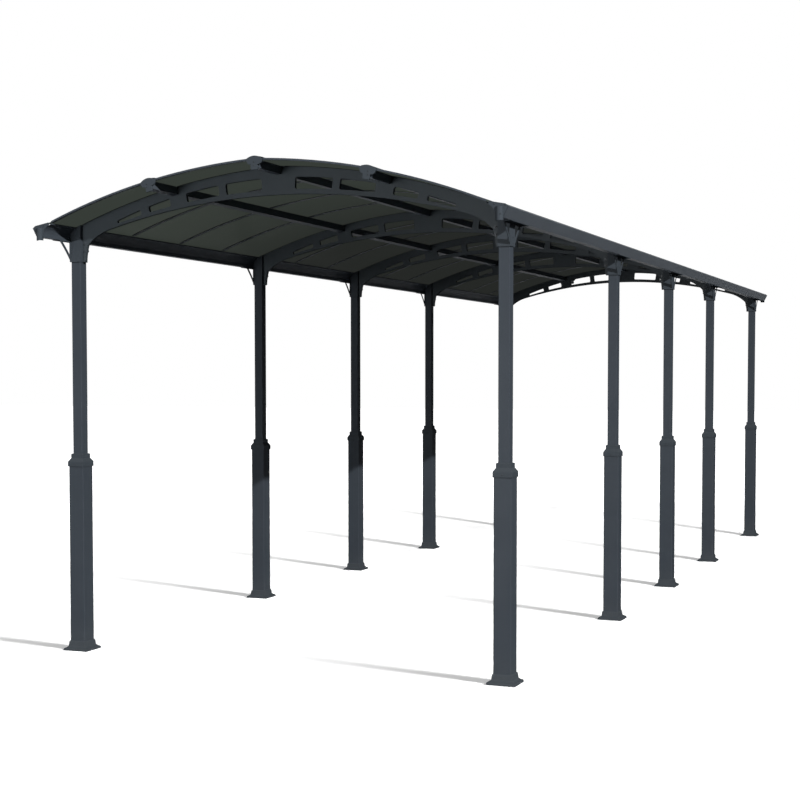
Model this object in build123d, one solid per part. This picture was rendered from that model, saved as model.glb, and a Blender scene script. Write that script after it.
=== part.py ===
from build123d import *
import math
import os

# Layout. Origin on the ground at the plan centre, +Y along the length, front end at -Y
PANEL_PITCH = 711.0
PANELS_PER_BAY = (4, 3, 3, 4)
END_OVERHANG = 355.5
POST_TRACK = 3251.0
SEAT = 0.3

# Roof: two equal arcs whose centres lie past the centre plane, so the ridge is slightly pointed.
# Heights are those of the panels' upper face
ROOF_RIDGE_Z = 3435.0
ROOF_RADIUS = 4924.0
ROOF_OFFSET = 218.5
PANEL_THICKNESS = 6.0
PANEL_LAP = 28.0

# Posts
POST_WIDTH = 77.0
POST_WALL = 2.2
POST_CORNER = 4.0
TUBE_INNER_CORNER = 0.5

# Base plate with its four anchor holes
PLATE_WIDTH = 172.0
PLATE_THICKNESS = 6.0
PLATE_CORNER = 8.0
ANCHOR_SPACING = 144.0
ANCHOR_HOLE_R = 5.5

# Lower sleeve around each post
SLEEVE_WIDTH = 122.0
SLEEVE_WALL = 2.2
SLEEVE_CORNER = 5.0
SLEEVE_TOP_Z = 1358.0

# Moulded foot cover
FOOT_HALF = 98.5
FOOT_EDGE_Z = 8.0
FOOT_BEVEL = 4.0
FOOT_BEVEL_Z = 17.0
FOOT_FLARE_BOW = 2.8
FOOT_RISER_OUT = 10.0
FOOT_RISER_Z = 32.0
FOOT_STEP_OUT = 6.0
FOOT_STEP_Z = 63.0
FOOT_TOP_Z = 70.0
FOOT_TOP_LIP = 1.3
FOOT_WALL = 3.0
FOOT_HOLLOW_Z = 58.0

# Moulded collar on top of the sleeve
COLLAR_OUT = 5.3
COLLAR_BOTTOM_Z = 1344.0
COLLAR_BAND_Z = 1373.0
COLLAR_SHOULDER_IN = 4.0
COLLAR_SHOULDER_Z = 1386.0
COLLAR_SHOULDER_BOW = 1.0
COLLAR_NECK_OUT = 10.5
COLLAR_NECK_Z = 1405.0
COLLAR_TOP_Z = 1437.0
COLLAR_TOP_BEVEL = 4.0
COLLAR_WALL = 3.0

# Eave gutter: widths outwards from the capital, heights as drops below its seat under the panels
GUTTER_GAP = 3.2
GUTTER_COVE_WIDTH = 60.0
GUTTER_FLOOR_WIDTH = 50.0
GUTTER_FLARE = 35.0
GUTTER_BROW_IN = 20.0
GUTTER_SEAT_WIDTH = 16.0
GUTTER_HEM = 8.0
GUTTER_COVE_DROP = 70.0
GUTTER_COVE_BOW = 13.0
GUTTER_DEPTH = 98.0
GUTTER_FASCIA_DROP = 32.0
GUTTER_BROW_DROP = 17.0
GUTTER_WALL = 2.4
GUTTER_RETURN = 12.0

# Gutter end cap with its rainwater outlet
CAP_THICKNESS = 12.0
CAP_PROUD = 2.0
CAP_CUT_BACK = 18.0
CAP_RISE = 5.0
OUTLET_R = 24.0
OUTLET_WALL = 2.5
OUTLET_OUT = 29.0
OUTLET_OFFSET = 4.0
OUTLET_DROP = 20.0

# Capital at each post top, measured from the gutter's floor down
CAPITAL_WALL = 4.5
CAPITAL_DEPTH = 150.0
CAPITAL_BAND = 3.0
CAPITAL_BAND_HEIGHT = 76.0
POST_HEAD = 14.0

# Curved arms of the capital, which spread along the eave to carry the gutter
ARM_FOOT = 5.0
ARM_REACH = 185.0
ARM_BOW = 5.0
ARM_WIDTH = 19.0
ARM_RAIL = 8.0
ARM_HOLE_MARGIN = 12.0
ARM_HOLE_CORNER = 3.0
SHELF_THICKNESS = 4.0

# Arched truss: depths are given on the centre plane and at the tip of the last opening
TRUSS_THICKNESS = 25.0
UPPER_CHORD_DEPTH = 83.0
UPPER_CHORD_TIP_DEPTH = 94.0
OPENING_HEIGHT = 82.0
OPENING_TIP_HEIGHT = 18.0
LOWER_CHORD_DEPTH = 35.0
LOWER_CHORD_TIP_DEPTH = 19.0
OPENING_SPANS = ((135.0, 420.0), (475.0, 739.0), (871.0, 1050.0), (1116.0, 1318.0))
OPENING_CORNER = 14.0
OPENING_CORNER_LIMIT = 0.3
HAUNCH_LENGTH = 242.0
HAUNCH_BOW = 16.0
KNEE_HEIGHT = 119.0
KNEE_WIDTH = 41.0
KNEE_RADIUS = 9.0
GUSSET_WIDTH = 22.0
GUSSET_BOW = 4.0

# Purlins: a box under the panels, a web between them and a crowned cover above
PURLIN_X = 818.0
PURLIN_WIDTH = 46.0
PURLIN_DEPTH = 55.0
PURLIN_WALL = 2.2
PURLIN_WEB = 4.0
COVER_WIDTH = 108.0
COVER_LIFT = 4.0
COVER_EDGE = 3.0
COVER_CROWN = 11.0
COVER_WALL = 2.2

# Purlin end cap: a crowned head over the panels' edge and a stem over the box
BELL_WIDTH = 120.0
BELL_CROWN = 16.0
BELL_EDGE_DROP = 6.0
BELL_WING_DROP = 26.0
BELL_WING_IN = 7.0
BELL_STEM_WIDTH = 50.0
BELL_STEM_DROP = 76.0
BELL_SHOULDER_DROP = 42.0
BELL_SHOULDER_BOW = 5.0
BELL_STEM_TAPER = 2.0
BELL_THICKNESS = 14.0

# Glazing bars between the panels
BAR_WIDTH = 40.0
BAR_FLANGE = 3.0
BAR_WEB = 3.0
BAR_END_GAP = 2.0

# Edge trim along each gable end
TRIM_DEPTH = 26.0
TRIM_FLANGE = 2.8

# Derived sizes
ROOF_CENTRE_Z = ROOF_RIDGE_Z - math.sqrt(ROOF_RADIUS ** 2 - ROOF_OFFSET ** 2)
ARC_TOP_Z = ROOF_CENTRE_Z + ROOF_RADIUS
ARC_AXIS = Axis((-ROOF_OFFSET, 0, ROOF_CENTRE_Z), (0, 1, 0))
POST_X = POST_TRACK / 2
FRAME_HALF = sum(PANELS_PER_BAY) * PANEL_PITCH / 2
ROOF_HALF = FRAME_HALF + END_OVERHANG
CAPITAL_HALF = POST_WIDTH / 2 + SEAT + CAPITAL_WALL
BAR_UNDER = PANEL_THICKNESS + SEAT + BAR_FLANGE
GUTTER_BACK_X = POST_X + CAPITAL_HALF + GUTTER_GAP
GUTTER_INNER_X = GUTTER_BACK_X - GUTTER_COVE_WIDTH
GUTTER_HEEL_X = GUTTER_BACK_X + GUTTER_FLOOR_WIDTH
GUTTER_OUTER_X = GUTTER_HEEL_X + GUTTER_FLARE
GUTTER_BROW_X = GUTTER_OUTER_X - GUTTER_BROW_IN
CAP_INNER_X = GUTTER_INNER_X + CAP_CUT_BACK
OUTLET_X = GUTTER_BACK_X + OUTLET_OUT
PANEL_EDGE_X = GUTTER_INNER_X + PANEL_LAP
TRUSS_END_X = POST_X - CAPITAL_HALF - SEAT
HAUNCH_START_X = TRUSS_END_X - HAUNCH_LENGTH
TRUSS_TIP_X = OPENING_SPANS[-1][1]
REACH = 12000.0


def post_stations():
    """Y of each pair of posts, one after every bay."""
    y = -FRAME_HALF
    stations = [y]
    for panels in PANELS_PER_BAY:
        y += panels * PANEL_PITCH
        stations.append(y)
    return stations


def bar_stations():
    """Y of each glazing bar, on the panel joints."""
    return [-FRAME_HALF + i * PANEL_PITCH for i in range(sum(PANELS_PER_BAY) + 1)]


def roof_z(x, under=0.0):
    """Height of the right-hand arc at x, or of the face that lies under it by a thickness."""
    return ROOF_CENTRE_Z + math.sqrt((ROOF_RADIUS - under) ** 2 - (x + ROOF_OFFSET) ** 2)


def arc_angle(x, under=0.0):
    """Angle about the right-hand arc's axis, from upright, of the point at x."""
    return math.degrees(math.asin((x + ROOF_OFFSET) / (ROOF_RADIUS - under)))


def on_arc(radius, degrees):
    """Point of the XZ plane at a radius and an angle from the right-hand arc's axis."""
    a = math.radians(degrees)
    return (radius * math.sin(a) - ROOF_OFFSET, ROOF_CENTRE_Z + radius * math.cos(a))


def under_roof(under):
    """Disc of the XZ plane that ends under the right-hand arc by a thickness."""
    return Pos(-ROOF_OFFSET, ROOF_CENTRE_Z) * Circle(ROOF_RADIUS - under)


def bowed(p, q, bow):
    """Arc from p to q whose middle stands off the straight line, to its left for a bow above 0."""
    dx = q[0] - p[0]
    dz = q[1] - p[1]
    run = math.hypot(dx, dz)
    middle = ((p[0] + q[0]) / 2 - dz * bow / run, (p[1] + q[1]) / 2 + dx * bow / run)
    return ThreePointArc(p, middle, q)


def polygon(points):
    return make_face(Polyline(*points, close=True))


def outline(*lines):
    """Face inside a closed chain of lines and arcs."""
    return make_face([edge for line in lines for edge in line.edges()])


def slab_xz(face, thickness, y=0.0):
    """Extrude a face of the XZ plane equally to both sides of a Y station."""
    return Pos(0, y, 0) * extrude(Plane.XZ * face, thickness / 2, both=True)


def mirrored(shape):
    return mirror(shape, about=Plane.YZ)


def tilted(shape, x):
    """Move a shape drawn on the centre plane to the arc's top, then turn it down the slope to x."""
    return (Pos(-ROOF_OFFSET, 0, 0) * shape).rotate(ARC_AXIS, arc_angle(x))


def square_turned(half_outline):
    """Mitred square solid from half of its side view, an open line from base to top."""
    low = half_outline @ 0
    high = half_outline @ 1
    other = mirrored(half_outline)
    base = Line((low.X, low.Y), (-low.X, low.Y))
    top = Line((high.X, high.Y), (-high.X, high.Y))
    face = make_face(half_outline.edges() + other.edges() + [base.edge(), top.edge()])
    along_y = extrude(Plane.XZ * face, REACH, both=True)
    along_x = extrude(Plane.YZ * face, REACH, both=True)
    return along_y & along_x


def square_tube(width, wall, corner, z0, z1):
    outer = RectangleRounded(width, width, corner)
    inner = RectangleRounded(width - 2 * wall, width - 2 * wall, max(corner - wall, TUBE_INNER_CORNER))
    return Pos(0, 0, z0) * extrude(outer - inner, z1 - z0)


def square_prism(width, z0, z1):
    return Pos(0, 0, z0) * extrude(Rectangle(width, width), z1 - z0)


def base_plate():
    face = RectangleRounded(PLATE_WIDTH, PLATE_WIDTH, PLATE_CORNER)
    for place in GridLocations(ANCHOR_SPACING, ANCHOR_SPACING, 2, 2):
        face -= place * Circle(ANCHOR_HOLE_R)
    return extrude(face, PLATE_THICKNESS)


def post():
    return square_tube(POST_WIDTH, POST_WALL, POST_CORNER, PLATE_THICKNESS, post_top_z())


def sleeve():
    return square_tube(SLEEVE_WIDTH, SLEEVE_WALL, SLEEVE_CORNER, PLATE_THICKNESS, SLEEVE_TOP_Z)


def foot_outline(inset):
    """Half side view of the foot cover, or of its hollow when inset by the wall."""
    half = SLEEVE_WIDTH / 2
    edge = FOOT_HALF - inset
    bevel_foot = (edge - FOOT_BEVEL, FOOT_BEVEL_Z - inset)
    riser = (half + FOOT_RISER_OUT - inset, FOOT_RISER_Z - inset)
    lower = Polyline((edge, 0), (edge, FOOT_EDGE_Z), bevel_foot)
    flare = bowed(bevel_foot, riser, FOOT_FLARE_BOW)
    if inset:
        upper = Polyline(riser, (half + FOOT_STEP_OUT - inset, FOOT_HOLLOW_Z))
    else:
        upper = Polyline(riser, (half + FOOT_STEP_OUT, FOOT_STEP_Z), (half + FOOT_TOP_LIP, FOOT_TOP_Z))
    return Wire(lower.edges() + flare.edges() + upper.edges())


def foot_cover():
    shell = square_turned(foot_outline(0)) - square_turned(foot_outline(FOOT_WALL))
    return shell - square_prism(SLEEVE_WIDTH + 2 * SEAT, 0, FOOT_TOP_Z)


def collar_outline():
    half = SLEEVE_WIDTH / 2
    band = half + COLLAR_OUT
    shoulder = (band - COLLAR_SHOULDER_IN, COLLAR_SHOULDER_Z)
    neck = POST_WIDTH / 2 + COLLAR_NECK_OUT
    lower = Line((band, COLLAR_BOTTOM_Z), (band, COLLAR_BAND_Z))
    round_shoulder = bowed((band, COLLAR_BAND_Z), shoulder, -COLLAR_SHOULDER_BOW)
    upper = Polyline(shoulder, (neck, COLLAR_NECK_Z), (neck, COLLAR_TOP_Z - COLLAR_TOP_BEVEL),
                     (neck - COLLAR_TOP_BEVEL, COLLAR_TOP_Z))
    return Wire(lower.edges() + round_shoulder.edges() + upper.edges())


def collar():
    """Cap over the sleeve: a lip outside it, a shoulder and a neck on the post."""
    body = square_turned(collar_outline())
    body -= square_prism(SLEEVE_WIDTH + 2 * SEAT, COLLAR_BOTTOM_Z, SLEEVE_TOP_Z)
    body -= square_prism(SLEEVE_WIDTH - 2 * COLLAR_WALL, SLEEVE_TOP_Z, COLLAR_BAND_Z - COLLAR_WALL)
    return body - square_prism(POST_WIDTH + 2 * SEAT, COLLAR_BOTTOM_Z, COLLAR_TOP_Z)


def gutter_seat_z():
    """Top of the gutter's inner edge, under the edge of the panels."""
    return roof_z(GUTTER_INNER_X + GUTTER_SEAT_WIDTH, PANEL_THICKNESS + SEAT)


def gutter_floor_z():
    return gutter_seat_z() - GUTTER_DEPTH


def gutter_outline(grow=0.0):
    """Outline of the right-hand gutter, seen from the front: a trough hung outside the posts."""
    seat = gutter_seat_z()
    hem = (GUTTER_INNER_X, seat - GUTTER_HEM)
    back = (GUTTER_BACK_X, seat - GUTTER_COVE_DROP)
    trough = Polyline(back, (GUTTER_BACK_X, gutter_floor_z()), (GUTTER_HEEL_X, gutter_floor_z()),
                      (GUTTER_OUTER_X, seat - GUTTER_FASCIA_DROP), (GUTTER_BROW_X, seat - GUTTER_BROW_DROP),
                      (GUTTER_INNER_X + GUTTER_SEAT_WIDTH, seat), (GUTTER_INNER_X, seat), hem)
    face = outline(trough, bowed(hem, back, GUTTER_COVE_BOW))
    if grow:
        face = offset(face, amount=grow, kind=Kind.INTERSECTION)
    return face


def gutter_section():
    channel = gutter_outline(-GUTTER_WALL)
    seat = gutter_seat_z()
    mouth_x0 = GUTTER_INNER_X + GUTTER_SEAT_WIDTH
    mouth_x1 = GUTTER_BROW_X - GUTTER_RETURN
    mouth_z0 = seat - GUTTER_FASCIA_DROP
    mouth = polygon([(mouth_x0, seat - GUTTER_WALL), (mouth_x1, mouth_z0), (mouth_x1, seat + GUTTER_DEPTH),
                     (mouth_x0, seat + GUTTER_DEPTH)])
    return gutter_outline() - channel - mouth


def gutter():
    return slab_xz(gutter_section(), 2 * ROOF_HALF)


def cap_outline():
    """Outline of the end cap: the gutter's, cut back at the panels and raised over their edge."""
    seat = gutter_seat_z()
    top = polygon([(CAP_INNER_X, seat - GUTTER_HEM), (CAP_INNER_X, seat + CAP_RISE),
                   (GUTTER_BROW_X, seat - GUTTER_BROW_DROP + CAP_PROUD),
                   (GUTTER_BROW_X, seat - GUTTER_FASCIA_DROP)])
    inside = polygon([(GUTTER_INNER_X - GUTTER_SEAT_WIDTH, gutter_floor_z()), (CAP_INNER_X, gutter_floor_z()),
                      (CAP_INNER_X, seat + GUTTER_DEPTH), (GUTTER_INNER_X - GUTTER_SEAT_WIDTH,
                                                           seat + GUTTER_DEPTH)])
    return gutter_outline(CAP_PROUD) + top - inside


def gutter_cap(end):
    """End cap of the right-hand gutter; end is -1 at the front and 1 at the rear."""
    y_face = end * (ROOF_HALF + CAP_THICKNESS / 2)
    plate = slab_xz(cap_outline(), CAP_THICKNESS, y_face)
    y_outlet = end * (ROOF_HALF + CAP_THICKNESS - OUTLET_OFFSET)
    bottom_z = gutter_floor_z() - OUTLET_DROP
    top_z = gutter_seat_z() - GUTTER_FASCIA_DROP
    spout = Pos(OUTLET_X, y_outlet, bottom_z) * extrude(Circle(OUTLET_R), top_z - bottom_z)
    inward = Pos(OUTLET_X, end * (ROOF_HALF - OUTLET_R), bottom_z) * square_prism(2 * OUTLET_R, 0,
                                                                                 GUTTER_DEPTH)
    bore = Pos(OUTLET_X, y_outlet, bottom_z) * extrude(Circle(OUTLET_R - OUTLET_WALL),
                                                       top_z - bottom_z - OUTLET_WALL)
    return plate + (spout - inward) - (bore - inward)


def capital_bottom_z():
    return gutter_floor_z() - CAPITAL_DEPTH


def post_top_z():
    return gutter_floor_z() + POST_HEAD


def arm_plate():
    """Upright plate along the eave: two curved arms with an open corner beside the post."""
    top_z = gutter_floor_z() - SEAT
    foot = (CAPITAL_HALF, capital_bottom_z() + ARM_FOOT)
    tip = (ARM_REACH, top_z)
    half = outline(bowed(foot, tip, ARM_BOW), Polyline(tip, (0, top_z), (0, foot[1]), foot))
    shift = ARM_WIDTH / math.sqrt(2)
    inner_foot = (foot[0] - shift, foot[1] + shift)
    inner_tip = (tip[0] - shift, tip[1] + shift)
    corner = outline(bowed(inner_foot, inner_tip, ARM_BOW),
                     Polyline(inner_tip, (inner_foot[0], inner_tip[1]), inner_foot))
    margin_y = CAPITAL_HALF + ARM_HOLE_MARGIN
    room = polygon([(margin_y, foot[1]), (ARM_REACH, foot[1]), (ARM_REACH, top_z - ARM_RAIL),
                    (margin_y, top_z - ARM_RAIL)])
    hole = (corner & room).face()
    half -= fillet(hole.vertices(), ARM_HOLE_CORNER)
    return half + mirrored(half)


def capital():
    """Socket over the post top, with arms and a shelf that carry the gutter."""
    inner_x = POST_X - CAPITAL_HALF
    outer_x = POST_X + CAPITAL_HALF
    bottom_z = capital_bottom_z()
    side = polygon([(inner_x, bottom_z), (outer_x, bottom_z), (outer_x, ROOF_RIDGE_Z),
                    (inner_x, ROOF_RIDGE_Z)])
    side = (side & under_roof(BAR_UNDER)) - gutter_outline(SEAT)
    body = slab_xz(side, 2 * CAPITAL_HALF)
    band = Pos(POST_X, 0, 0) * square_prism(2 * (CAPITAL_HALF + CAPITAL_BAND), bottom_z,
                                            bottom_z + CAPITAL_BAND_HEIGHT)
    outward = Pos(inner_x + REACH / 2, 0, 0) * square_prism(REACH, bottom_z, ROOF_RIDGE_Z)
    plate = Pos(outer_x - CAPITAL_WALL, 0, 0) * extrude(Plane.YZ * arm_plate(), CAPITAL_WALL)
    shelf_x = outer_x - CAPITAL_WALL
    shelf = Pos((shelf_x + GUTTER_HEEL_X) / 2, 0, gutter_floor_z() - SEAT - SHELF_THICKNESS / 2) * Box(
        GUTTER_HEEL_X - shelf_x, 2 * ARM_REACH, SHELF_THICKNESS)
    socket = Pos(POST_X, 0, 0) * square_prism(POST_WIDTH + 2 * SEAT, bottom_z, post_top_z() + SEAT)
    return body + (band & outward) + plate + shelf - socket


def arch_radius(mid_z, tip_z):
    """Radius of an arch that passes the centre plane at mid_z and the truss tips at tip_z."""
    rise = mid_z - tip_z
    return (TRUSS_TIP_X ** 2 + rise ** 2) / (2 * rise)


def arch_disc(depth, tip_depth):
    """Disc of the XZ plane under an arch set down from the roof by its depths."""
    mid_z = ROOF_RIDGE_Z - depth
    radius = arch_radius(mid_z, roof_z(TRUSS_TIP_X) - tip_depth)
    return Pos(0, mid_z - radius) * Circle(radius)


def lower_edge_z(x):
    """Height of the truss's lower edge at x."""
    mid_z = ROOF_RIDGE_Z - UPPER_CHORD_DEPTH - OPENING_HEIGHT - LOWER_CHORD_DEPTH
    tip_z = roof_z(TRUSS_TIP_X) - UPPER_CHORD_TIP_DEPTH - OPENING_TIP_HEIGHT - LOWER_CHORD_TIP_DEPTH
    radius = arch_radius(mid_z, tip_z)
    return mid_z - radius + math.sqrt(radius ** 2 - x ** 2)


def haunch():
    """End of the truss: it curves down into a gusset on the capital."""
    bottom_z = capital_bottom_z()
    start = (HAUNCH_START_X, lower_edge_z(HAUNCH_START_X))
    knee = (TRUSS_END_X - KNEE_WIDTH, bottom_z + KNEE_HEIGHT)
    foot = (TRUSS_END_X - GUSSET_WIDTH, bottom_z)
    back = Polyline(foot, (TRUSS_END_X, bottom_z), (TRUSS_END_X, ROOF_RIDGE_Z),
                    (HAUNCH_START_X, ROOF_RIDGE_Z), start)
    face = outline(bowed(start, knee, HAUNCH_BOW), bowed(knee, foot, GUSSET_BOW), back)
    corner = face.vertices().sort_by_distance((knee[0], knee[1], 0))[0]
    return fillet(corner, KNEE_RADIUS)


def truss_opening(x0, x1):
    """Rounded opening between the chords, with ends that follow the roof's radii."""
    band = arch_disc(UPPER_CHORD_DEPTH, UPPER_CHORD_TIP_DEPTH)
    band -= arch_disc(UPPER_CHORD_DEPTH + OPENING_HEIGHT, UPPER_CHORD_TIP_DEPTH + OPENING_TIP_HEIGHT)
    a0 = arc_angle(x0)
    a1 = arc_angle(x1)
    wedge = polygon([on_arc(ROOF_RADIUS / 2, a0), on_arc(2 * ROOF_RADIUS, a0),
                     on_arc(2 * ROOF_RADIUS, a1), on_arc(ROOF_RADIUS / 2, a1)])
    face = (band & wedge).face()
    for inner_end in (True, False):
        ends = face.vertices().sort_by(Axis.X)
        pair = ends[:2] if inner_end else ends[-2:]
        height = abs(pair[0].Y - pair[1].Y)
        face = fillet(pair, min(OPENING_CORNER, height * OPENING_CORNER_LIMIT))
    return face


def truss_face():
    """Both halves of the truss in the XZ plane."""
    half = polygon([(0, capital_bottom_z()), (TRUSS_END_X, capital_bottom_z()),
                    (TRUSS_END_X, ROOF_RIDGE_Z), (0, ROOF_RIDGE_Z)])
    lower = UPPER_CHORD_DEPTH + OPENING_HEIGHT + LOWER_CHORD_DEPTH
    lower_tip = UPPER_CHORD_TIP_DEPTH + OPENING_TIP_HEIGHT + LOWER_CHORD_TIP_DEPTH
    half -= arch_disc(lower, lower_tip)
    half = (half + haunch()) & under_roof(BAR_UNDER)
    for x0, x1 in OPENING_SPANS:
        half -= truss_opening(x0, x1)
    return half + mirrored(half)


def truss():
    body = slab_xz(truss_face(), TRUSS_THICKNESS)
    side_space = tilted(purlin_space(ARC_TOP_Z - PANEL_THICKNESS), PURLIN_X)
    return body - purlin_space(ridge_under_z()) - side_space - mirrored(side_space)


def ridge_under_z():
    """Lowest underside of the panels over the ridge purlin's box."""
    return roof_z(PURLIN_WIDTH / 2, PANEL_THICKNESS)


def purlin_space(under_z):
    """Notch that lets a purlin pass through the top of a truss."""
    depth = PURLIN_DEPTH + 2 * SEAT
    return Pos(0, 0, under_z - depth) * Box(PURLIN_WIDTH + 2 * SEAT, 2 * TRUSS_THICKNESS, 2 * depth,
                                            align=(Align.CENTER, Align.CENTER, Align.MIN))


def purlin_section(top_z, under_z):
    """Box below the panels' underside, web between them and crowned cover above their top."""
    box_top = under_z - SEAT
    box_mid = box_top - PURLIN_DEPTH / 2
    box = Pos(0, box_mid) * Rectangle(PURLIN_WIDTH, PURLIN_DEPTH)
    hollow = Pos(0, box_mid) * Rectangle(PURLIN_WIDTH - 2 * PURLIN_WALL, PURLIN_DEPTH - 2 * PURLIN_WALL)
    cover_z = top_z + COVER_LIFT
    web = Pos(0, (box_top + cover_z) / 2) * Rectangle(PURLIN_WEB, cover_z - box_top + COVER_WALL)
    cover = cover_outline(cover_z, 0) - cover_outline(cover_z, COVER_WALL)
    return box - hollow + web + cover


def cover_outline(cover_z, inset):
    half = COVER_WIDTH / 2 - inset
    z0 = cover_z + inset
    z1 = cover_z + COVER_EDGE
    sides = Polyline((-half, z1), (-half, z0), (half, z0), (half, z1))
    return outline(sides, ThreePointArc((half, z1), (0, cover_z + COVER_CROWN - inset), (-half, z1)))


def bell_face(top_z):
    """Front view of a purlin's end cap, drawn over the centre plane."""
    edge = (BELL_WIDTH / 2, top_z - BELL_EDGE_DROP)
    wing = (edge[0] - BELL_WING_IN, top_z - BELL_WING_DROP)
    shoulder = (BELL_STEM_WIDTH / 2, top_z - BELL_SHOULDER_DROP)
    foot = (shoulder[0] - BELL_STEM_TAPER, top_z - BELL_STEM_DROP)
    side = Polyline(edge, wing)
    curve = bowed(wing, shoulder, BELL_SHOULDER_BOW)
    stem = Polyline(shoulder, foot, (0, foot[1]), (0, top_z))
    crown = Line((0, top_z), edge)
    half = outline(side, curve, stem, crown)
    head = outline(ThreePointArc((-edge[0], edge[1]), (0, top_z + BELL_CROWN), edge),
                   Polyline(edge, (0, top_z), (-edge[0], edge[1])))
    return half + mirrored(half) + head


def purlin_cap(top_z, end):
    """Cap that closes the end of a purlin's box and cover."""
    return slab_xz(bell_face(top_z), BELL_THICKNESS, end * (ROOF_HALF + BELL_THICKNESS / 2))


def at_each_purlin(ridge_piece, side_piece):
    """The same kind of piece at the left, ridge and right purlins."""
    right = tilted(side_piece, PURLIN_X)
    return {"left": mirrored(right), "ridge": ridge_piece, "right": right}


def arc_band(under0, under1, a0, a1):
    """Face between two depths under the arc and two angles about its axis."""
    r0 = ROOF_RADIUS - under0
    r1 = ROOF_RADIUS - under1
    middle = (a0 + a1) / 2
    upper = ThreePointArc(on_arc(r0, a0), on_arc(r0, middle), on_arc(r0, a1))
    lower = ThreePointArc(on_arc(r1, a1), on_arc(r1, middle), on_arc(r1, a0))
    return outline(upper, Line(on_arc(r0, a1), on_arc(r1, a1)), lower, Line(on_arc(r1, a0), on_arc(r0, a0)))


def roof_strips(gap, outer_angle):
    """Angle ranges of the crown and eave strips of the right-hand arc."""
    ridge = arc_angle(gap, BAR_UNDER)
    purlin = arc_angle(PURLIN_X)
    step = math.degrees(gap / ROOF_RADIUS)
    return {"crown": (ridge, purlin - step), "eave": (purlin + step, outer_angle)}


def along_arc(section, start, end):
    """Revolve a section of the YZ plane about the right-hand arc's axis between two angles."""
    face = Pos(-ROOF_OFFSET, 0, 0) * (Plane.YZ * section)
    return revolve(face, axis=ARC_AXIS, revolution_arc=end - start).rotate(ARC_AXIS, start)


def panels(start, end):
    """All panels of one roof strip, one between each pair of glazing bars."""
    edges = [-ROOF_HALF] + bar_stations() + [ROOF_HALF]
    band = arc_band(0, PANEL_THICKNESS, start, end)
    joint = BAR_WEB / 2 + SEAT
    last = len(edges) - 1
    sheets = []
    for i in range(last):
        y0 = edges[i] + (joint if i > 0 else TRIM_FLANGE + SEAT)
        y1 = edges[i + 1] - (joint if i + 1 < last else TRIM_FLANGE + SEAT)
        sheets.append(slab_xz(band, y1 - y0, (y0 + y1) / 2))
    return sheets


def bar_section():
    """H-shaped glazing bar with a crowned top, drawn at the arc's top."""
    under = ARC_TOP_Z - PANEL_THICKNESS - SEAT
    top = ARC_TOP_Z + SEAT
    half = BAR_WIDTH / 2
    lower = Pos(0, under - BAR_FLANGE / 2) * Rectangle(BAR_WIDTH, BAR_FLANGE)
    web = Pos(0, (under + top) / 2) * Rectangle(BAR_WEB, top - under + BAR_FLANGE)
    crown = ThreePointArc((half, top), (0, top + BAR_FLANGE), (-half, top))
    return lower + web + outline(crown, Line((-half, top), (half, top)))


def bars(start, end):
    bar = along_arc(bar_section(), start, end)
    return [Pos(0, y, 0) * bar for y in bar_stations()]


def trim(start, end, side):
    """U-shaped trim over the panels' cut ends; side is -1 at the front."""
    under = ARC_TOP_Z - PANEL_THICKNESS - SEAT - TRIM_FLANGE
    top = ARC_TOP_Z + SEAT + TRIM_FLANGE
    y = side * (ROOF_HALF - TRIM_DEPTH / 2)
    block = Pos(y, (under + top) / 2) * Rectangle(TRIM_DEPTH, top - under)
    slot = Pos(y - side * TRIM_FLANGE, (under + top) / 2) * Rectangle(TRIM_DEPTH,
                                                                    top - under - 2 * TRIM_FLANGE)
    return along_arc(block - slot, start, end)


def save(name, solids):
    shape = Compound(children=list(solids)) if len(solids) > 1 else solids[0]
    export_step(shape, "parts/" + name + ".step")


def save_both_sides(name, place, solids):
    """Export solids of the right-hand side and their mirror images on the left."""
    save(name + "_right" + place, solids)
    save(name + "_left" + place, [mirrored(solid) for solid in solids])


def save_rows(name, piece):
    """Export one piece at every post of the right-hand row, and its mirror on the left."""
    save_both_sides(name, "", [Pos(0, y, 0) * piece for y in post_stations()])


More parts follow.
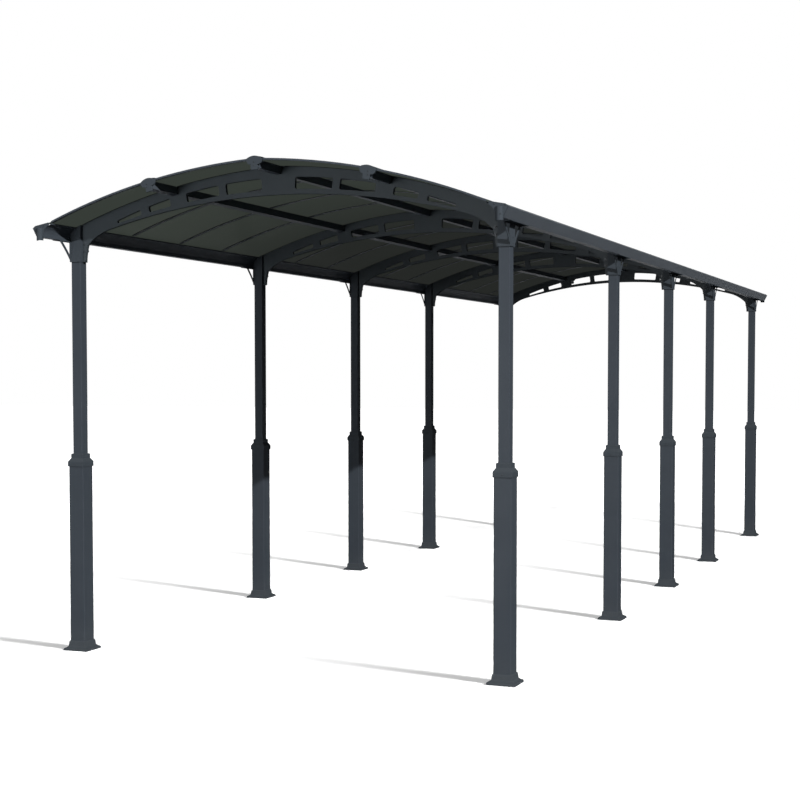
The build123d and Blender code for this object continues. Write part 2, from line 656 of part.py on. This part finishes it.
def main():
    os.makedirs("parts", exist_ok=True)
    tube = Pos(POST_X, 0, 0) * post()
    arch = truss()
    for number, y in enumerate(post_stations(), 1):
        save_both_sides("post", "_%d" % number, [Pos(0, y, 0) * tube])
        save("truss_%d" % number, [Pos(0, y, 0) * arch])
    save_rows("base_plates", Pos(POST_X, 0, 0) * base_plate())
    save_rows("foot_covers", Pos(POST_X, 0, 0) * foot_cover())
    save_rows("sleeves", Pos(POST_X, 0, 0) * sleeve())
    save_rows("collars", Pos(POST_X, 0, 0) * collar())
    save_rows("capitals", capital())
    save_both_sides("gutter", "", [gutter()])
    save_both_sides("gutter_caps", "", [gutter_cap(-1), gutter_cap(1)])
    ridge_rail = slab_xz(purlin_section(ROOF_RIDGE_Z, ridge_under_z()), 2 * ROOF_HALF)
    side_rail = slab_xz(purlin_section(ARC_TOP_Z, ARC_TOP_Z - PANEL_THICKNESS), 2 * ROOF_HALF)
    for name, rail in at_each_purlin(ridge_rail, side_rail).items():
        save("purlin_" + name, [rail])
    for name, end in (("front", -1), ("rear", 1)):
        caps = at_each_purlin(purlin_cap(ROOF_RIDGE_Z, end), purlin_cap(ARC_TOP_Z, end))
        save("purlin_caps_" + name, list(caps.values()))
    for strip, (start, end) in roof_strips(PURLIN_WEB / 2 + SEAT, arc_angle(PANEL_EDGE_X)).items():
        save_both_sides("roof_panels", "_" + strip, panels(start, end))
    bar_end = arc_angle(GUTTER_INNER_X - BAR_END_GAP, BAR_UNDER)
    bar_ranges = roof_strips(PURLIN_WIDTH / 2 + SEAT, bar_end)
    for strip, (start, end) in bar_ranges.items():
        save_both_sides("glazing_bars", "_" + strip, bars(start, end))
    for name, side in (("front", -1), ("rear", 1)):
        right = [trim(start, end, side) for start, end in bar_ranges.values()]
        save("edge_trims_" + name, right + [mirrored(piece) for piece in right])


main()
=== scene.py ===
import math

import bmesh
import bpy
from mathutils import Matrix, Vector


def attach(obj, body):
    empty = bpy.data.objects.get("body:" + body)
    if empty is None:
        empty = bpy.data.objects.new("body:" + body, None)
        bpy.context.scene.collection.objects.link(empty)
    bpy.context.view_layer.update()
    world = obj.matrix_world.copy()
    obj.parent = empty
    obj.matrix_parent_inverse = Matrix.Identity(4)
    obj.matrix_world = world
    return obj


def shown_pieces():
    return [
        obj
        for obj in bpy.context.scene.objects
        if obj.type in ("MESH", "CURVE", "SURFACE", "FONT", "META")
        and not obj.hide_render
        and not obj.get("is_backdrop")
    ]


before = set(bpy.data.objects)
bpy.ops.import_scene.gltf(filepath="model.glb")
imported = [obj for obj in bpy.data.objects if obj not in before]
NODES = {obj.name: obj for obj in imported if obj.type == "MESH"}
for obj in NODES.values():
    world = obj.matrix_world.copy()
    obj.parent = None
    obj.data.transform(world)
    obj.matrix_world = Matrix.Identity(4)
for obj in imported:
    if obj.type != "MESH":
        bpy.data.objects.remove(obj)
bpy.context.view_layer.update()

# View of the photograph, in metres, degrees and pixels of its 800 x 800 frame
PHOTO_SIZE = 800
SENSOR_WIDTH = 36.0
CAMERA_PLACE = (4.6161, -14.1578, 1.9741)
CAMERA_TURN = -22.683
CAMERA_DIP = 2.406
CAMERA_ROLL = -0.04
FOCAL_PIXELS = 1491.76
OPTICAL_AXIS = (384.54, 442.24)

# Studio
FLOOR_SIZE = 160.0
AMBIENT_LEVEL = 0.2
REAR_PLACE = (-17.0, 17.0, 9.0)
REAR_POWER = 3200.0
REAR_SIZE = 6.0
TRUSS_LAMP_PLACE = (-3.0, -17.0, 1.0)
TRUSS_LAMP_POWER = 700.0
KEY_PLACE = (26.0, -20.6, 17.0)
KEY_AIM = (0.0, -1.0, 1.2)
KEY_POWER = 13200.0
KEY_SIZE = 0.35
FRONT_PLACE = (-2.5, -14.5, 1.4)
FRONT_POWER = 400.0
FRONT_SIZE = 5.0
FLOOR_LAMP_PLACE = (15.2, -7.6, 9.0)
FLOOR_LAMP_AIM = (-1.0, 0.0, 0.0)
FLOOR_LAMP_POWER = 19.0
FLOOR_LAMP_SIZE = 2.8
FLOOR_SEEN = 0.8
FLOOR_LIFT = 0.4
FLOOR_BOUNCE = 0.03
ROW_X = 1.6255
SHADOW_START = 0.25
SHADOW_END = 4.6
CLEAR_START = 7.0
CLEAR_END = 10.0

# Painted glow of light on the tinted sheets, strongest by the front gable
GLOW_FRONT_Y = -4.4
GLOW_BACK_Y = -1.2

# Small fixings and seals, in metres
SCREW_RADIUS = 0.0062
SCREW_HEIGHT = 0.0038
SCREW_SINK = 0.0014
SPLICE_SCREW_X = (-0.022, 0.040)
SPLICE_SCREW_Z = 3.245
KNEE_BOLT_X = 1.558
KNEE_BOLT_Z = (2.905, 2.955)
BOLT_RADIUS = 0.0085
BOLT_HEIGHT = 0.0055
COLLAR_SCREW_Z = 1.359
CAPITAL_SCREW_Z = (2.846, 2.884)
STEM_SCREW_DROP = (0.040, 0.062)
CAP_SCREW_PLACES = ((1.668, 3.058), (1.740, 3.050), (1.712, 2.994))
PANEL_PITCH = 0.711
JOINT_COUNT = 15
SEAL_OFFSET = 0.0215
SEAL_WIDTH = 0.003
SEAL_DEPTH = 0.0032
SEAL_STEPS = 28
CROWN_SHEET_X = 0.818
SEAL_RUNS = ((0.06, 0.786), (0.85, 1.59))


def linear(red, green, blue):
    """Colour on a screen, 0 to 255, as the linear colour a shader takes."""
    shares = [c / 255 for c in (red, green, blue)]
    return tuple(s / 12.92 if s <= 0.04045 else ((s + 0.055) / 1.055) ** 2.4 for s in shares) + (1.0,)


def new_group(name, inputs, outputs):
    """Shader node group with named float inputs and outputs, and its two end nodes."""
    group = bpy.data.node_groups.new(name, "ShaderNodeTree")
    for label, value in inputs.items():
        socket = group.interface.new_socket(name=label, in_out="INPUT", socket_type="NodeSocketFloat")
        socket.default_value = value
    for label, kind in outputs.items():
        group.interface.new_socket(name=label, in_out="OUTPUT", socket_type=kind)
    return group, group.nodes.new("NodeGroupInput"), group.nodes.new("NodeGroupOutput")


def node(tree, kind, **values):
    """New node with its properties and plain socket values set."""
    made = tree.nodes.new(kind)
    for key, value in values.items():
        if hasattr(made, key):
            setattr(made, key, value)
        else:
            made.inputs[key.replace("_", " ")].default_value = value
    return made


def math_node(tree, operation, first, second=None):
    made = tree.nodes.new("ShaderNodeMath")
    made.operation = operation
    for index, value in enumerate((first, second)):
        if value is None:
            continue
        if isinstance(value, (int, float)):
            made.inputs[index].default_value = value
        else:
            tree.links.new(value, made.inputs[index])
    return made.outputs[0]


def object_point(tree):
    return tree.nodes.new("ShaderNodeTexCoord").outputs["Object"]


def coat_group():
    """Fine texture of a powder coat: a height for the bump and a slow change of tone."""
    group, ins, outs = new_group(
        "powder_coat",
        {"Grain": 900.0, "Cloud": 3.0},
        {"Height": "NodeSocketFloat", "Tone": "NodeSocketFloat"})
    point = object_point(group)
    fine = node(group, "ShaderNodeTexNoise", Detail=3.0, Roughness=0.6)
    group.links.new(point, fine.inputs["Vector"])
    group.links.new(ins.outputs["Grain"], fine.inputs["Scale"])
    slow = node(group, "ShaderNodeTexNoise", Detail=4.0, Roughness=0.55)
    group.links.new(point, slow.inputs["Vector"])
    group.links.new(ins.outputs["Cloud"], slow.inputs["Scale"])
    group.links.new(fine.outputs["Fac"], outs.inputs["Height"])
    group.links.new(slow.outputs["Fac"], outs.inputs["Tone"])
    return group


def edge_group():
    """Mask of the arrises for a painted highlight along them, and the rounded normal there."""
    group, ins, outs = new_group(
        "arris",
        {"Radius": 0.002, "Strength": 6.0},
        {"Mask": "NodeSocketFloat", "Normal": "NodeSocketVector"})
    bevel = node(group, "ShaderNodeBevel", samples=4)
    group.links.new(ins.outputs["Radius"], bevel.inputs["Radius"])
    flat = group.nodes.new("ShaderNodeNewGeometry")
    dot = group.nodes.new("ShaderNodeVectorMath")
    dot.operation = "DOT_PRODUCT"
    group.links.new(bevel.outputs["Normal"], dot.inputs[0])
    group.links.new(flat.outputs["Normal"], dot.inputs[1])
    turned = math_node(group, "SUBTRACT", 1.0, dot.outputs["Value"])
    scaled = math_node(group, "MULTIPLY", turned, ins.outputs["Strength"])
    mask = group.nodes.new("ShaderNodeClamp")
    group.links.new(scaled, mask.inputs["Value"])
    group.links.new(mask.outputs["Result"], outs.inputs["Mask"])
    group.links.new(bevel.outputs["Normal"], outs.inputs["Normal"])
    return group


def dust_group():
    """Mask of the pale dust that lies on faces turned upwards and near the ground."""
    group, ins, outs = new_group(
        "dust",
        {"Splash_Height": 0.25, "Scale": 14.0},
        {"Mask": "NodeSocketFloat"})
    flat = group.nodes.new("ShaderNodeNewGeometry")
    split = group.nodes.new("ShaderNodeSeparateXYZ")
    group.links.new(flat.outputs["Normal"], split.inputs[0])
    up = math_node(group, "MAXIMUM", split.outputs["Z"], 0.0)
    place = group.nodes.new("ShaderNodeSeparateXYZ")
    point = object_point(group)
    group.links.new(point, place.inputs[0])
    share = math_node(group, "DIVIDE", place.outputs["Z"], ins.outputs["Splash_Height"])
    low = math_node(group, "SUBTRACT", 1.0, share)
    near = math_node(group, "MAXIMUM", low, 0.0)
    both = math_node(group, "MAXIMUM", up, near)
    speckle = node(group, "ShaderNodeTexNoise", Detail=5.0, Roughness=0.65)
    group.links.new(point, speckle.inputs["Vector"])
    group.links.new(ins.outputs["Scale"], speckle.inputs["Scale"])
    group.links.new(math_node(group, "MULTIPLY", both, speckle.outputs["Fac"]), outs.inputs["Mask"])
    return group


GROUPS = {"coat": coat_group(), "arris": edge_group(), "dust": dust_group()}


def placed(tree, group, **values):
    """One of the shared groups in a material, with its own values."""
    made = tree.nodes.new("ShaderNodeGroup")
    made.node_tree = GROUPS[group]
    for key, value in values.items():
        made.inputs[key].default_value = value
    return made


def mixed(tree, share, first, second):
    """Colour between two colours by a share that changes over the surface."""
    mix = tree.nodes.new("ShaderNodeMix")
    mix.data_type = "RGBA"
    for label, value in (("Factor", share), ("A", first), ("B", second)):
        sockets = [s for s in mix.inputs if s.name == label and s.enabled]
        if isinstance(value, tuple):
            sockets[0].default_value = value
        else:
            tree.links.new(value, sockets[0])
    return [s for s in mix.outputs if s.enabled][0]


def sheen(tree, shader, amount, glance=0.0):
    """Clear gloss that shows face on and dies away at a glancing view."""
    view = node(tree, "ShaderNodeLayerWeight", Blend=0.5)
    share = node(tree, "ShaderNodeMapRange", From_Min=0.3, From_Max=0.8, To_Min=amount, To_Max=0.0)
    tree.links.new(view.outputs["Facing"], share.inputs["Value"])
    tree.links.new(share.outputs["Result"], shader.inputs["Coat Weight"])
    shader.inputs["Specular IOR Level"].default_value = glance


def coated(name, dark, light, roughness, grain, bump, edge, dust, gloss, glance=0.0):
    """Painted surface: two tones that drift, a fine grain, a painted highlight on the arrises and a trace
    of dust.
    """
    material = bpy.data.materials.new(name)
    material.use_nodes = True
    tree = material.node_tree
    shader = tree.nodes["Principled BSDF"]
    coat = placed(tree, "coat", Grain=grain)
    arris = placed(tree, "arris", Radius=0.0018)
    dusty = placed(tree, "dust")
    tone = mixed(tree, coat.outputs["Tone"], dark, light)
    # Painted highlight: the arrises are mixed towards a pale grey, as if they caught the light.
    painted_edge_highlight = math_node(tree, "MULTIPLY", arris.outputs["Mask"], edge)
    edged = mixed(tree, painted_edge_highlight, tone, linear(112, 118, 124))
    settled = math_node(tree, "MULTIPLY", dusty.outputs["Mask"], dust)
    final = mixed(tree, settled, edged, linear(128, 126, 120))
    tree.links.new(final, shader.inputs["Base Color"])
    rough = node(tree, "ShaderNodeMapRange", To_Min=roughness - 0.06, To_Max=roughness + 0.06)
    tree.links.new(coat.outputs["Height"], rough.inputs["Value"])
    tree.links.new(rough.outputs["Result"], shader.inputs["Roughness"])
    shader.inputs["Coat Roughness"].default_value = roughness * 0.7
    sheen(tree, shader, gloss, glance)
    relief = node(tree, "ShaderNodeBump", Strength=bump, Distance=0.0004)
    tree.links.new(coat.outputs["Height"], relief.inputs["Height"])
    tree.links.new(arris.outputs["Normal"], relief.inputs["Normal"])
    tree.links.new(relief.outputs["Normal"], shader.inputs["Normal"])
    return material


def glazing_finish():
    """Smoke-tinted twin-wall sheet: close ribs along the arc, a soft gloss and a painted glow that is
    brighter by the front gable.
    """
    material = bpy.data.materials.new("smoked_twin_wall")
    material.use_nodes = True
    tree = material.node_tree
    shader = tree.nodes["Principled BSDF"]
    coat = placed(tree, "coat", Grain=140.0, Cloud=1.3)
    ribs = node(tree, "ShaderNodeTexWave", Scale=31.0, bands_direction="Y")
    tree.links.new(object_point(tree), ribs.inputs["Vector"])
    tone = mixed(tree, coat.outputs["Tone"], linear(49, 54, 51), linear(61, 66, 62))
    shade = math_node(tree, "MULTIPLY", ribs.outputs["Fac"], 0.25)
    final = mixed(tree, shade, tone, linear(38, 42, 40))
    tree.links.new(final, shader.inputs["Base Color"])
    shader.inputs["Roughness"].default_value = 0.5
    shader.inputs["Coat Roughness"].default_value = 0.16
    sheen(tree, shader, 0.12)
    # Painted glow: emission that makes the sheets brighter by the front gable and dimmer towards the
    # middle, as if lit.
    place = tree.nodes.new("ShaderNodeSeparateXYZ")
    tree.links.new(object_point(tree), place.inputs[0])
    depth = node(tree, "ShaderNodeMapRange", From_Min=GLOW_FRONT_Y, From_Max=GLOW_BACK_Y)
    tree.links.new(place.outputs["Y"], depth.inputs["Value"])
    glow = mixed(tree, depth.outputs["Result"], linear(53, 58, 53), linear(37, 39, 37))
    tree.links.new(glow, shader.inputs["Emission Color"])
    shader.inputs["Emission Strength"].default_value = 1.0
    relief = node(tree, "ShaderNodeBump", Strength=0.25, Distance=0.001)
    tree.links.new(ribs.outputs["Fac"], relief.inputs["Height"])
    tree.links.new(relief.outputs["Normal"], shader.inputs["Normal"])
    return material


FINISHES = {
    "post_coat": coated("post_powder_coat", linear(57, 63, 70), linear(67, 73, 80), 0.5, 900.0,
                        0.35, 0.22, 0.10, 0.1),
    "frame_coat": coated("profile_powder_coat", linear(62, 68, 75), linear(72, 78, 85), 0.46, 1100.0,
                         0.25, 0.1, 0.12, 0.08, 0.006),
    "truss_steel": coated("truss_powder_coat", linear(50, 55, 59), linear(58, 64, 68), 0.52, 900.0,
                          0.35, 0.18, 0.10, 0.08),
    "plate_steel": coated("plate_powder_coat", linear(54, 59, 63), linear(62, 67, 72), 0.5, 900.0,
                          0.35, 0.2, 0.12, 0.1),
    "moulding": coated("moulded_plastic", linear(57, 63, 69), linear(67, 73, 79), 0.58, 1500.0,
                       0.3, 0.14, 0.12, 0.1),
    "glazing": glazing_finish(),
}


def dress_frame():
    for piece in NODES.values():
        for slot in piece.material_slots:
            slot.material = FINISHES[slot.material.name.split(".")[0]]


def seen_rays(tree):
    """1 for rays that show a background: those of the camera, of gloss and of clear plastic."""
    path = tree.nodes.new("ShaderNodeLightPath")
    first = math_node(tree, "MAXIMUM", path.outputs["Is Camera Ray"], path.outputs["Is Glossy Ray"])
    return math_node(tree, "MAXIMUM", first, path.outputs["Is Transmission Ray"])


def shadow_fade(tree):
    """Glow of the floor: least at the foot of each row, full where a shadow ends and far away."""
    point = object_point(tree)
    split = tree.nodes.new("ShaderNodeSeparateXYZ")
    tree.links.new(point, split.inputs[0])
    run = math_node(tree, "SUBTRACT", ROW_X, split.outputs["X"])
    beyond = math_node(tree, "GREATER_THAN", run, 2 * ROW_X)
    along = math_node(tree, "SUBTRACT", run, math_node(tree, "MULTIPLY", beyond, 2 * ROW_X))
    near = node(tree, "ShaderNodeMapRange", From_Min=SHADOW_START, From_Max=SHADOW_END, To_Min=FLOOR_LIFT)
    tree.links.new(along, near.inputs["Value"])
    reach = tree.nodes.new("ShaderNodeVectorMath")
    reach.operation = "LENGTH"
    tree.links.new(point, reach.inputs[0])
    far = node(tree, "ShaderNodeMapRange", From_Min=CLEAR_START, From_Max=CLEAR_END)
    tree.links.new(reach.outputs["Value"], far.inputs["Value"])
    return math_node(tree, "MAXIMUM", near.outputs["Result"], far.outputs["Result"])


def floor_material():
    material = bpy.data.materials.new("studio_floor")
    material.use_nodes = True
    tree = material.node_tree
    tree.nodes.remove(tree.nodes["Principled BSDF"])
    out = tree.nodes["Material Output"]
    seen = node(tree, "ShaderNodeBsdfDiffuse", Color=(FLOOR_SEEN,) * 3 + (1.0,))
    lift = tree.nodes.new("ShaderNodeEmission")
    tree.links.new(shadow_fade(tree), lift.inputs["Strength"])
    bright = tree.nodes.new("ShaderNodeAddShader")
    bounce = node(tree, "ShaderNodeBsdfDiffuse", Color=(FLOOR_BOUNCE,) * 3 + (1.0,))
    mix = tree.nodes.new("ShaderNodeMixShader")
    tree.links.new(seen.outputs[0], bright.inputs[0])
    tree.links.new(lift.outputs[0], bright.inputs[1])
    tree.links.new(seen_rays(tree), mix.inputs[0])
    tree.links.new(bounce.outputs[0], mix.inputs[1])
    tree.links.new(bright.outputs[0], mix.inputs[2])
    tree.links.new(mix.outputs[0], out.inputs["Surface"])
    return material


def studio_floor():
    mesh = bpy.data.meshes.new("studio_floor")
    bm = bmesh.new()
    bmesh.ops.create_grid(bm, x_segments=1, y_segments=1, size=FLOOR_SIZE / 2)
    bm.to_mesh(mesh)
    bm.free()
    floor = bpy.data.objects.new("studio_floor", mesh)
    bpy.context.scene.collection.objects.link(floor)
    mesh.materials.append(floor_material())
    floor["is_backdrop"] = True
    return floor


def studio_world():
    world = bpy.data.worlds.new("studio_world")
    bpy.context.scene.world = world
    world.use_nodes = True
    tree = world.node_tree
    ground = tree.nodes["Background"]
    ground.inputs["Color"].default_value = (1.0, 1.0, 1.0, 1.0)
    level = node(tree, "ShaderNodeMapRange", To_Min=AMBIENT_LEVEL, To_Max=1.0)
    tree.links.new(seen_rays(tree), level.inputs["Value"])
    tree.links.new(level.outputs["Result"], ground.inputs["Strength"])


def lamp(name, place, aim, power, size):
    data = bpy.data.lights.new(name, "AREA")
    data.shape = "DISK"
    data.size = size
    data.energy = power
    made = bpy.data.objects.new(name, data)
    made.location = place
    made.rotation_euler = (Vector(aim) - Vector(place)).to_track_quat("-Z", "Y").to_euler()
    bpy.context.scene.collection.objects.link(made)
    return made


def studio_lamps(floor):
    """Key and front lamps for the object, and one lamp that draws the posts' shadows on the floor."""
    lit = bpy.data.collections.new("lit_object")
    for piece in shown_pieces():
        lit.objects.link(piece)
    key = lamp("key_lamp", KEY_PLACE, KEY_AIM, KEY_POWER, KEY_SIZE)
    front = lamp("front_lamp", FRONT_PLACE, KEY_AIM, FRONT_POWER, FRONT_SIZE)
    rear = lamp("rear_lamp", REAR_PLACE, KEY_AIM, REAR_POWER, REAR_SIZE)
    rear.light_linking.receiver_collection = lit
    fill = lamp("truss_lamp", TRUSS_LAMP_PLACE, KEY_AIM, TRUSS_LAMP_POWER, FRONT_SIZE)
    arches = bpy.data.collections.new("lit_arches")
    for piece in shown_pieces():
        if piece.name.startswith(("truss", "knee")):
            arches.objects.link(piece)
    fill.light_linking.receiver_collection = arches
    key.light_linking.receiver_collection = lit
    front.light_linking.receiver_collection = lit
    ground = bpy.data.collections.new("lit_floor")
    ground.objects.link(floor)
    standing = bpy.data.collections.new("standing_pieces")
    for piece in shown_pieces():
        if piece.name.startswith(("post", "sleeve", "foot", "collar", "base")):
            standing.objects.link(piece)
    low = lamp("floor_lamp", FLOOR_LAMP_PLACE, FLOOR_LAMP_AIM, FLOOR_LAMP_POWER, FLOOR_LAMP_SIZE)
    low.data.use_nodes = True
    even = node(low.data.node_tree, "ShaderNodeLightFalloff", Strength=1.0)
    glow = low.data.node_tree.nodes["Emission"]
    low.data.node_tree.links.new(even.outputs["Constant"], glow.inputs["Strength"])
    low.light_linking.receiver_collection = ground
    low.light_linking.blocker_collection = standing


def photo_camera():
    data = bpy.data.cameras.new("photo_camera")
    data.type = "PERSP"
    data.sensor_fit = "HORIZONTAL"
    data.sensor_width = SENSOR_WIDTH
    data.lens = SENSOR_WIDTH * FOCAL_PIXELS / PHOTO_SIZE
    data.shift_x = 0.5 - OPTICAL_AXIS[0] / PHOTO_SIZE
    data.shift_y = OPTICAL_AXIS[1] / PHOTO_SIZE - 0.5
    data.clip_end = 300.0
    camera = bpy.data.objects.new("photo_camera", data)
    yaw = math.radians(CAMERA_TURN)
    dip = math.radians(CAMERA_DIP)
    roll = math.radians(CAMERA_ROLL)
    turn = Matrix.Rotation(-yaw, 4, "Z") @ Matrix.Rotation(math.pi / 2 - dip, 4, "X")
    camera.matrix_world = Matrix.Translation(CAMERA_PLACE) @ turn @ Matrix.Rotation(roll, 4, "Z")
    bpy.context.scene.collection.objects.link(camera)
    bpy.context.scene.camera = camera


def screw_finish():
    """Stove-enamelled steel of the fixings, a little darker than the coat around them."""
    return coated("enamelled_fixing", linear(46, 51, 56), linear(58, 63, 68), 0.42, 1600.0,
                  0.2, 0.3, 0.05, 0.2)


def seal_finish():
    """Black rubber of the glazing seals."""
    return coated("rubber_seal", linear(24, 25, 25), linear(33, 34, 33), 0.7, 2200.0, 0.3, 0.1, 0.05, 0.1)


def new_piece(name, bm, material):
    mesh = bpy.data.meshes.new(name)
    bmesh.ops.recalc_face_normals(bm, faces=bm.faces)
    bm.to_mesh(mesh)
    bm.free()
    piece = bpy.data.objects.new(name, mesh)
    bpy.context.scene.collection.objects.link(piece)
    mesh.materials.append(material)
    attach(piece, "root")
    return piece


def surface(name, start, way):
    """Where a straight line first meets a piece of the frame, or None."""
    piece = NODES[name]
    back = piece.matrix_world.inverted()
    hit, place, normal, _ = piece.ray_cast(back @ Vector(start), back.to_3x3() @ Vector(way))
    return piece.matrix_world @ place if hit else None


def stand_on(place, way):
    """Turn and shift that put a fixing on a face, its head against the line that found it."""
    turn = Vector((0.0, 0.0, 1.0)).rotation_difference(-Vector(way)).to_matrix().to_4x4()
    return Matrix.Translation(place) @ turn


def top_face(faces):
    return max(faces, key=lambda f: f.calc_center_median().z)


def add_screw(bm, place, way):
    """Domed screw head with a round drive recess."""
    head = bmesh.new()
    bmesh.ops.create_cone(head, cap_ends=True, segments=24, radius1=SCREW_RADIUS,
                          radius2=SCREW_RADIUS * 0.74, depth=SCREW_HEIGHT)
    bmesh.ops.translate(head, verts=head.verts, vec=(0.0, 0.0, SCREW_HEIGHT / 2 - SCREW_SINK))
    top = top_face(head.faces)
    bmesh.ops.bevel(head, geom=list(top.edges), offset=SCREW_HEIGHT * 0.3, segments=3, profile=0.5,
                    affect="EDGES", material=-1)
    bmesh.ops.inset_individual(head, faces=[top_face(head.faces)], thickness=SCREW_RADIUS * 0.16)
    recess = bmesh.ops.extrude_discrete_faces(head, faces=[top_face(head.faces)])["faces"]
    bmesh.ops.translate(head, verts=recess[0].verts, vec=(0.0, 0.0, -SCREW_HEIGHT * 0.45))
    join(bm, head, stand_on(place, way))


def add_bolt(bm, place, way):
    """Hexagon bolt head on its round washer."""
    head = bmesh.new()
    bmesh.ops.create_cone(head, cap_ends=True, segments=32, radius1=BOLT_RADIUS * 1.35,
                          radius2=BOLT_RADIUS * 1.3, depth=BOLT_HEIGHT * 0.3)
    bmesh.ops.translate(head, verts=head.verts, vec=(0.0, 0.0, BOLT_HEIGHT * 0.15))
    made = bmesh.ops.create_cone(head, cap_ends=True, segments=6, radius1=BOLT_RADIUS,
                                 radius2=BOLT_RADIUS, depth=BOLT_HEIGHT)
    bmesh.ops.translate(head, verts=made["verts"], vec=(0.0, 0.0, BOLT_HEIGHT * 0.8))
    top = top_face(head.faces)
    bmesh.ops.bevel(head, geom=list(top.edges), offset=BOLT_HEIGHT * 0.14, segments=2, profile=0.5,
                    affect="EDGES", material=-1)
    join(bm, head, stand_on(place, way))


def join(bm, part, matrix):
    """Add one small mesh to a larger one at its place."""
    bmesh.ops.transform(part, matrix=matrix, verts=part.verts)
    scratch = bpy.data.meshes.new("scratch")
    part.to_mesh(scratch)
    part.free()
    bm.from_mesh(scratch)
    bpy.data.meshes.remove(scratch)


def fixings(name, add, lines, material):
    """One piece of fixings: for each line, the head stands where the line meets its node."""
    bm = bmesh.new()
    for node_name, start, way in lines:
        place = surface(node_name, start, way)
        if place is not None:
            add(bm, place, way)
    new_piece(name, bm, material)


def span(name, axis):
    values = [(NODES[name].matrix_world @ Vector(c))[axis] for c in NODES[name].bound_box]
    return min(values), max(values)


def middle(name, axis):
    return sum(span(name, axis)) / 2


def truss_lines(places):
    """Lines that meet both faces of every truss at the given places."""
    lines = []
    for index in range(1, 6):
        name = f"truss_{index}"
        for x, z in places:
            for side in (-1.0, 1.0):
                lines.append((name, (x, middle(name, 1) - side * 0.5, z), (0.0, side, 0.0)))
    return lines


def post_lines(family, heights, out, turned):
    """Lines that meet the front and rear, or the outer, faces of a piece at every post."""
    lines = []
    for side, row in ((-1.0, "left"), (1.0, "right")):
        for index in range(1, 6):
            y = middle(f"post_{row}_{index}", 1)
            x = side * ROW_X
            for z in heights:
                if turned:
                    lines.append((f"{family}_{row}", (x + side * out, y, z), (-side, 0.0, 0.0)))
                else:
                    for way in (-1.0, 1.0):
                        lines.append((f"{family}_{row}", (x, y - way * out, z), (0.0, way, 0.0)))
    return lines


def bell_lines():
    lines = []
    for end, way in (("front", 1.0), ("rear", -1.0)):
        name = f"purlin_caps_{end}"
        for purlin in ("left", "ridge", "right"):
            x = middle(f"purlin_{purlin}", 0)
            top = surface(name, (x, middle(name, 1), 4.0), (0.0, 0.0, -1.0))
            for drop in STEM_SCREW_DROP:
                lines.append((name, (x, middle(name, 1) - way * 0.5, top.z - drop), (0.0, way, 0.0)))
    return lines


def gutter_cap_lines():
    lines = []
    for side, row in ((-1.0, "left"), (1.0, "right")):
        for way in (-1.0, 1.0):
            for x, z in CAP_SCREW_PLACES:
                lines.append((f"gutter_caps_{row}", (side * x, -way * 6.0, z), (0.0, way, 0.0)))
    return lines


def add_seal(bm, side, low_x, high_x, y):
    """Thin square strip that follows the underside of the sheets from eave to crown."""
    rings = []
    for step in range(SEAL_STEPS + 1):
        x = low_x + (high_x - low_x) * step / SEAL_STEPS
        rings.append((x, sheet_under(side, x, y)))
    rows = []
    for x, z in rings:
        row = []
        for dy, dz in ((-0.5, 0.0), (0.5, 0.0), (0.5, -1.0), (-0.5, -1.0)):
            row.append(bm.verts.new((side * x, y + dy * SEAL_WIDTH, z + dz * SEAL_DEPTH)))
        rows.append(row)
    for near, far in zip(rows, rows[1:]):
        for corner in range(4):
            after = (corner + 1) % 4
            bm.faces.new((near[corner], near[after], far[after], far[corner]))
    bm.faces.new(rows[0])
    bm.faces.new(reversed(rows[-1]))


def sheet_under(side, x, y):
    row = "left" if side < 0 else "right"
    band = "crown" if x < CROWN_SHEET_X else "eave"
    place = surface(f"roof_panels_{row}_{band}", (side * x, y, 2.5), (0.0, 0.0, 1.0))
    return place.z


def seals():
    bm = bmesh.new()
    for index in range(JOINT_COUNT):
        y = (index - (JOINT_COUNT - 1) / 2) * PANEL_PITCH
        for side in (-1.0, 1.0):
            for low_x, high_x in SEAL_RUNS:
                for shift in (-SEAL_OFFSET, SEAL_OFFSET):
                    add_seal(bm, side, low_x, high_x, y + shift)
    new_piece("sheet_seals", bm, seal_finish())


def dress_fixings():
    dark = screw_finish()
    splice = [(x, SPLICE_SCREW_Z) for x in SPLICE_SCREW_X]
    knees = [(side * KNEE_BOLT_X, z) for side in (-1, 1) for z in KNEE_BOLT_Z]
    fixings("truss_screws", add_screw, truss_lines(splice), dark)
    fixings("knee_bolts", add_bolt, truss_lines(knees), dark)
    fixings("collar_screws", add_screw, post_lines("collars", (COLLAR_SCREW_Z,), 0.3, False), dark)
    fixings("capital_screws", add_screw, post_lines("capitals", CAPITAL_SCREW_Z, 0.3, True), dark)
    fixings("bell_screws", add_screw, bell_lines(), dark)
    fixings("gutter_cap_screws", add_screw, gutter_cap_lines(), dark)


dress_frame()
dress_fixings()
seals()
studio_world()
studio_lamps(studio_floor())
photo_camera()
bpy.context.scene.view_settings.view_transform = "Standard"
